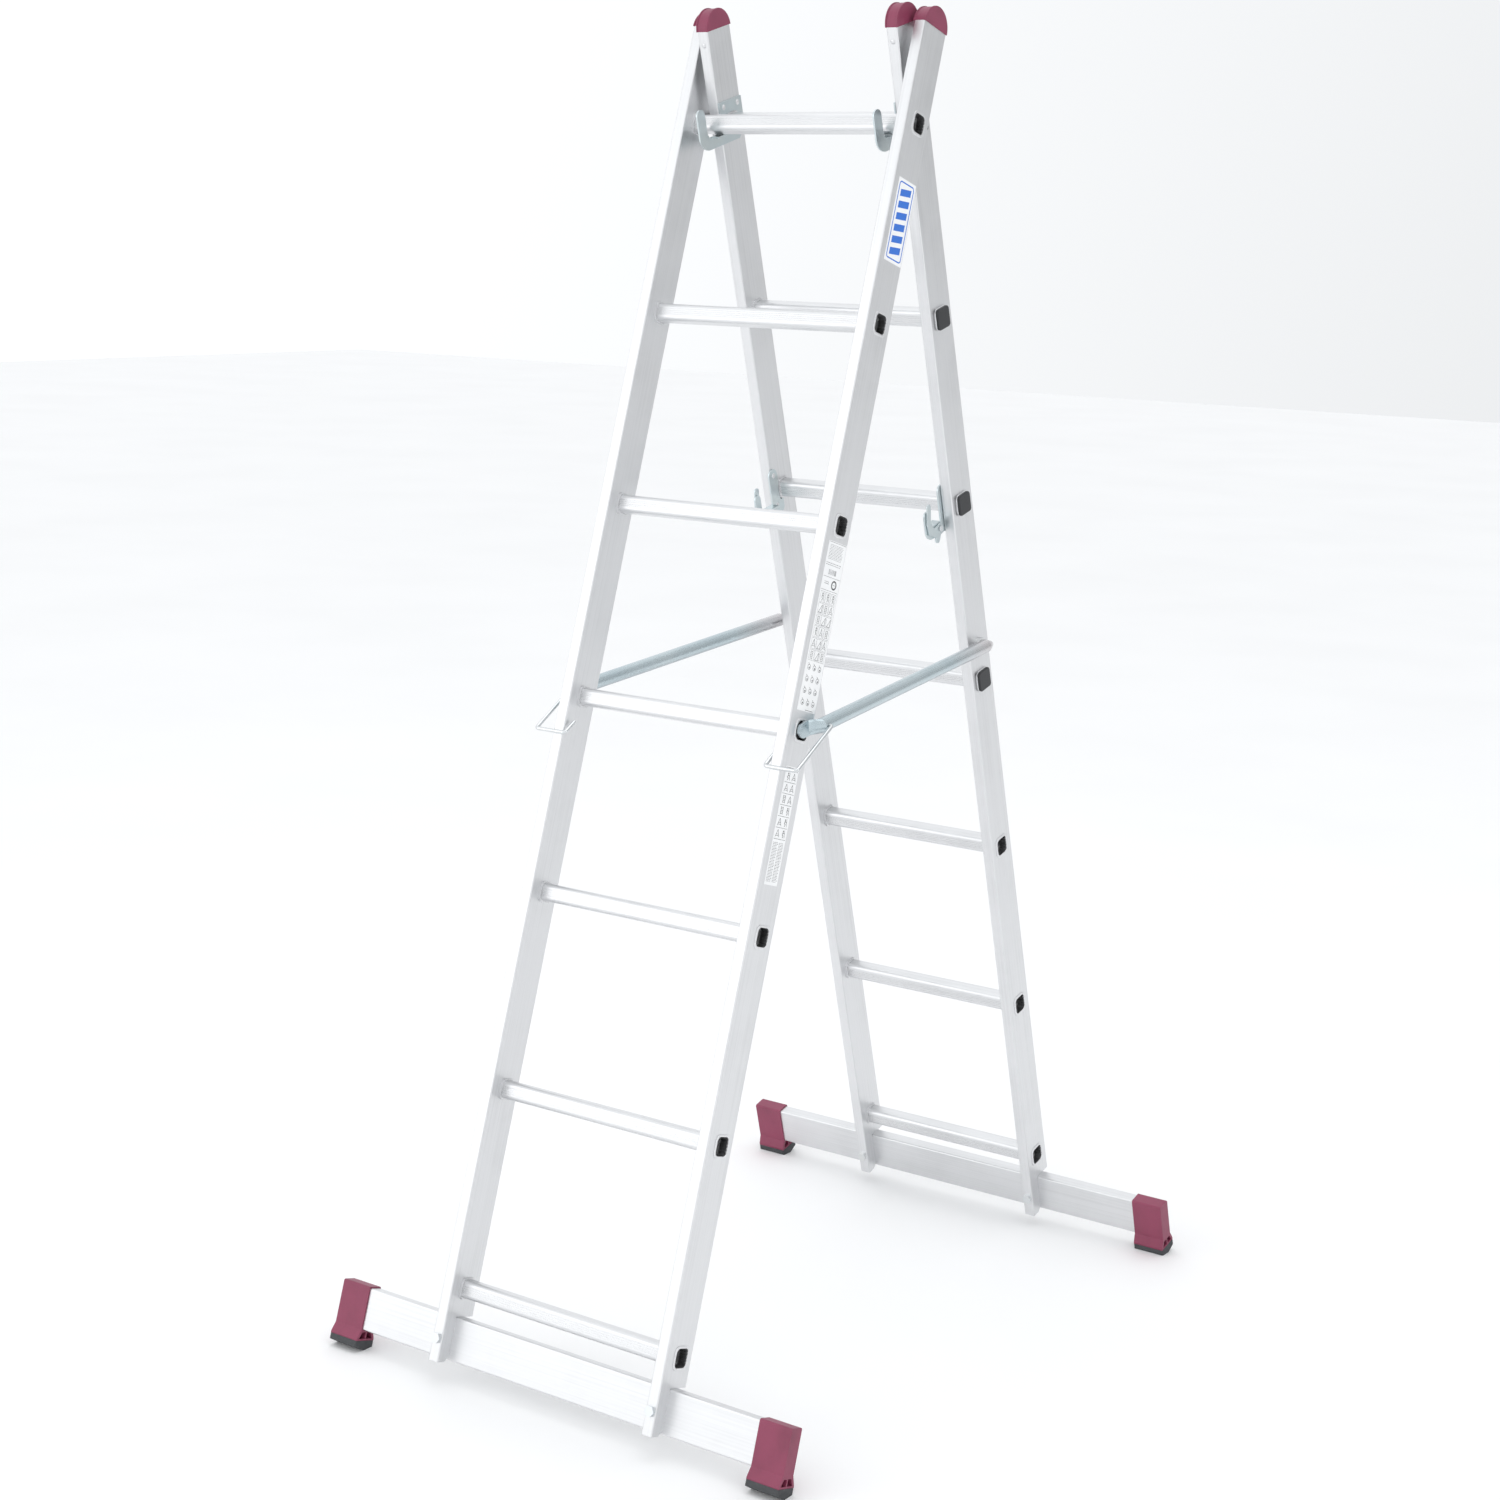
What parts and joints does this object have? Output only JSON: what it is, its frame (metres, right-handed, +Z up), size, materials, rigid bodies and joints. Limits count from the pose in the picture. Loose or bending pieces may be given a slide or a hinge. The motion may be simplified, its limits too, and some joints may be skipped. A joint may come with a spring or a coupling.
{
  "type": "multi position ladder",
  "caption": "Two-section aluminium ladder standing as an A-frame, with wide stabiliser base bars, hook-in rungs, steel spreader braces and plastic feet.",
  "frame": {"origin": "on the floor, at the centre of the footprint", "axes": "+X along the rungs, +Y from the front section to the rear section, +Z up"},
  "size_m": [0.7812, 1.106, 1.8955],
  "materials": {
    "aluminium": "satin extruded",
    "rivet_aluminium": "satin",
    "zinc_steel": "bright zinc plated",
    "burgundy_plastic": "fine matt grain",
    "black_plastic": "matt",
    "rubber": "matt",
    "label": "satin film"
  },
  "bodies": {
    "front_section": {"front_stile_left": "aluminium", "front_stile_right": "aluminium", "front_foot_cap_left": "burgundy_plastic", "front_foot_cap_right": "burgundy_plastic", "front_sole_left": "rubber", "front_sole_right": "rubber", "front_top_cap_left": "burgundy_plastic", "front_top_cap_right": "burgundy_plastic", "front_rung_1": "aluminium", "front_rung_2": "aluminium", "front_rung_3": "aluminium", "front_rung_4": "aluminium", "front_rung_5": "aluminium", "front_rung_6": "aluminium", "front_rung_7": "aluminium", "front_base_bar": "aluminium", "front_bar_bolts": "zinc_steel", "front_bar_nuts": "zinc_steel", "front_cap_rivets": "rivet_aluminium", "badge_label": "label", "guide_label": "label", "strip_label": "label"},
    "rear_section": {"rear_stile_left": "aluminium", "rear_stile_right": "aluminium", "rear_foot_cap_left": "burgundy_plastic", "rear_foot_cap_right": "burgundy_plastic", "rear_sole_left": "rubber", "rear_sole_right": "rubber", "rear_top_cap_left": "burgundy_plastic", "rear_top_cap_right": "burgundy_plastic", "rear_rung_1": "aluminium", "rear_rung_2": "aluminium", "rear_rung_3": "aluminium", "rear_rung_4": "aluminium", "rear_rung_5": "aluminium", "rear_rung_6": "aluminium", "rear_rung_7": "aluminium", "rear_base_bar": "aluminium", "rear_bar_bolts": "zinc_steel", "rear_bar_nuts": "zinc_steel", "rear_cap_rivets": "rivet_aluminium", "rung_end_plugs": "black_plastic", "hook_rivets": "zinc_steel", "top_hook_left": "zinc_steel", "top_hook_right": "zinc_steel", "mid_hook_left": "zinc_steel", "mid_hook_right": "zinc_steel", "latch_pins": "zinc_steel", "brace_pivots": "zinc_steel"},
    "brace_left": {"brace_left": "zinc_steel"},
    "brace_right": {"brace_right": "zinc_steel"},
    "bail_left": {"bail_left": "zinc_steel"},
    "bail_right": {"bail_right": "zinc_steel"},
    "latch_left": {"latch_left": "zinc_steel"},
    "latch_right": {"latch_right": "zinc_steel"}
  },
  "joints": [
    {"name": "ladder_fold", "type": "hinge", "parent": "front_section", "child": "rear_section", "pos_m": [0, -0.00984, 1.73256], "axis": [-1, 0, 0], "range_deg": [0, 27.5]},
    {"name": "brace_fold_left", "type": "hinge", "parent": "rear_section", "child": "brace_left", "pos_m": [-0.186, 0.24957, 0.98659], "axis": [1, 0, 0], "range_deg": [0, 86]},
    {"name": "bail_swing_left", "type": "hinge", "parent": "brace_left", "child": "bail_left", "pos_m": [-0.20942, -0.22076, 0.93403], "axis": [-1, 0, 0], "range_deg": [0, 78]},
    {"name": "latch_swing_left", "type": "hinge", "parent": "rear_section", "child": "latch_left", "pos_m": [-0.1519, 0.15442, 1.16425], "axis": [-1, 0, 0], "range_deg": [0, 25]},
    {"name": "brace_fold_right", "type": "hinge", "parent": "rear_section", "child": "brace_right", "pos_m": [0.186, 0.24957, 0.98659], "axis": [1, 0, 0], "range_deg": [0, 86]},
    {"name": "bail_swing_right", "type": "hinge", "parent": "brace_right", "child": "bail_right", "pos_m": [0.20942, -0.22076, 0.93403], "axis": [-1, 0, 0], "range_deg": [0, 78]},
    {"name": "latch_swing_right", "type": "hinge", "parent": "rear_section", "child": "latch_right", "pos_m": [0.1519, 0.15442, 1.16425], "axis": [-1, 0, 0], "range_deg": [0, 25]}
  ],
  "couplings": [
    {"joint": "brace_fold_left", "follows": "ladder_fold", "ratio": 3.1},
    {"joint": "bail_swing_left", "follows": "ladder_fold", "ratio": 2.83},
    {"joint": "brace_fold_right", "follows": "ladder_fold", "ratio": 3.1},
    {"joint": "bail_swing_right", "follows": "ladder_fold", "ratio": 2.83}
  ]
}
